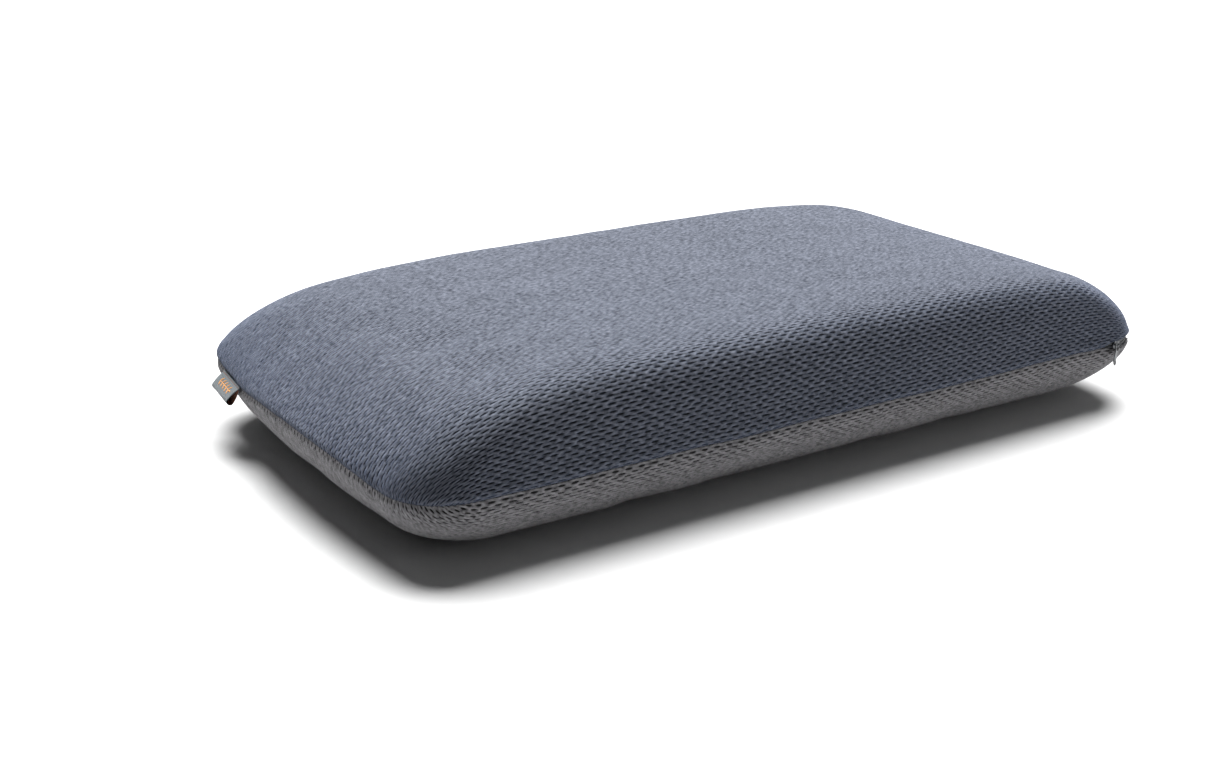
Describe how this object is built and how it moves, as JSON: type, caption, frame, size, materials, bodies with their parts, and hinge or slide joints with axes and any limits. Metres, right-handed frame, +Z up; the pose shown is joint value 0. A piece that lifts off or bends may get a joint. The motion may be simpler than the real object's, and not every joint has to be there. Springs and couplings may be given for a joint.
{
  "type": "foam pillow",
  "caption": "Rectangular memory-foam pad for kneeling, sitting or sleeping, in a zipped, knitted spacer-mesh cover with a folded side tag.",
  "frame": {"origin": "centre of the flat resting face under the pad", "axes": "+X along the length towards the zipped end, +Y across the width towards the back, +Z up through the thickness"},
  "size_m": [0.7176, 0.4098, 0.12],
  "materials": {
    "foam": "open-celled memory foam, matt",
    "liner": "thin knitted polyester",
    "liner_thread": "polyester sewing thread",
    "cover_upper": "knitted spacer mesh with small open slots, slate blue",
    "cover_lower": "knitted spacer mesh, warmer slate grey",
    "cover_thread": "polyester sewing thread",
    "zip_tape": "herringbone polyester tape",
    "zip_coil": "polyester monofilament coil",
    "slider_metal": "gunmetal lacquer on die-cast zinc",
    "tag_ribbon": "woven ribbon, slate grey outside and dark brown inside",
    "tag_yarn": "amber woven yarn",
    "label_satin": "white satin ribbon"
  },
  "bodies": {
    "root": {"foam_core": "foam", "liner_top": "liner", "liner_bottom": "liner", "liner_seam_thread": "liner_thread", "cover_top": "cover_upper", "cover_bottom": "cover_lower", "cover_seam_thread": "cover_thread", "zip_tape_upper": "zip_tape", "zip_tape_lower": "zip_tape", "zip_coil_upper": "zip_coil", "zip_coil_lower": "zip_coil", "zip_stitch_upper": "cover_thread", "zip_stitch_lower": "cover_thread", "zip_tack_front": "cover_thread", "zip_tack_back": "cover_thread", "side_tag": "tag_ribbon", "tag_motif": "tag_yarn", "care_label": "label_satin"},
    "slider": {"slider_body": "slider_metal"},
    "pull": {"pull_tab": "slider_metal"}
  },
  "joints": [
    {"name": "zip_travel", "type": "hinge", "parent": "root", "child": "slider", "pos_m": [0.29518, -0.15, 0.053], "axis": [0, 0, 1], "range_deg": [0, 70]},
    {"name": "pull_lift", "type": "hinge", "parent": "slider", "child": "pull", "pos_m": [0.30036, -0.19933, 0.053], "axis": [-0.6393, -0.0672, 0.766], "range_deg": [0, 110]}
  ]
}
